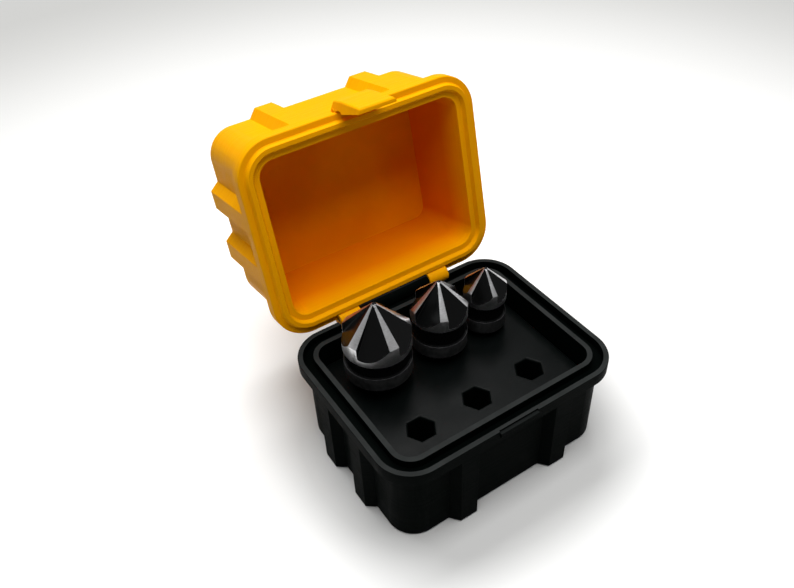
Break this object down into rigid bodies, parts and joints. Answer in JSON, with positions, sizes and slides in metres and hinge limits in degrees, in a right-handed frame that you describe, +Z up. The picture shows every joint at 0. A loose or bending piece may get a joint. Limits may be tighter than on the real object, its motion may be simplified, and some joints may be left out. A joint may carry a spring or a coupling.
{
  "type": "drill bit case",
  "caption": "Small hinged case with a snap latch and a drop-in insert that stands countersink bits upright in hexagonal sockets.",
  "frame": {"origin": "centre of the base's underside, on the surface the case stands on", "axes": "+X along the hinge line towards the smallest bit, +Y from the latch side to the hinge side, +Z up"},
  "size_m": [0.0738, 0.0989, 0.0922],
  "materials": {
    "case_black": "satin, faint layer lines",
    "pin_black": "satin",
    "lid_yellow": "satin, faint layer lines",
    "bit_steel": "black oxide with bright ground edges"
  },
  "bodies": {
    "base": {"base_shell": "case_black", "bit_tray": "case_black", "hinge_pin": "pin_black"},
    "lid": {"lid_shell": "lid_yellow"},
    "latch": {"snap_latch": "lid_yellow"},
    "large_bit": {"countersink_large": "bit_steel"},
    "medium_bit": {"countersink_medium": "bit_steel"},
    "small_bit": {"countersink_small": "bit_steel"}
  },
  "joints": [
    {"name": "lid_hinge", "type": "hinge", "parent": "base", "child": "lid", "pos_m": [0, 0.0296, 0.0294], "axis": [1, 0, 0], "range_deg": [0, 102.5]},
    {"name": "latch_flex", "type": "hinge", "parent": "lid", "child": "latch", "pos_m": [0, 0.04447, 0.08654], "axis": [-1, 0, 0], "range_deg": [0, 8], "stiffness_Nm_per_rad": 0.02},
    {"name": "large_bit_lift", "type": "slide", "parent": "base", "child": "large_bit", "axis": [0, 0, -1], "range_m": [-0.026, 0]},
    {"name": "medium_bit_lift", "type": "slide", "parent": "base", "child": "medium_bit", "axis": [0, 0, -1], "range_m": [-0.026, 0]},
    {"name": "small_bit_lift", "type": "slide", "parent": "base", "child": "small_bit", "axis": [0, 0, -1], "range_m": [-0.026, 0]}
  ]
}
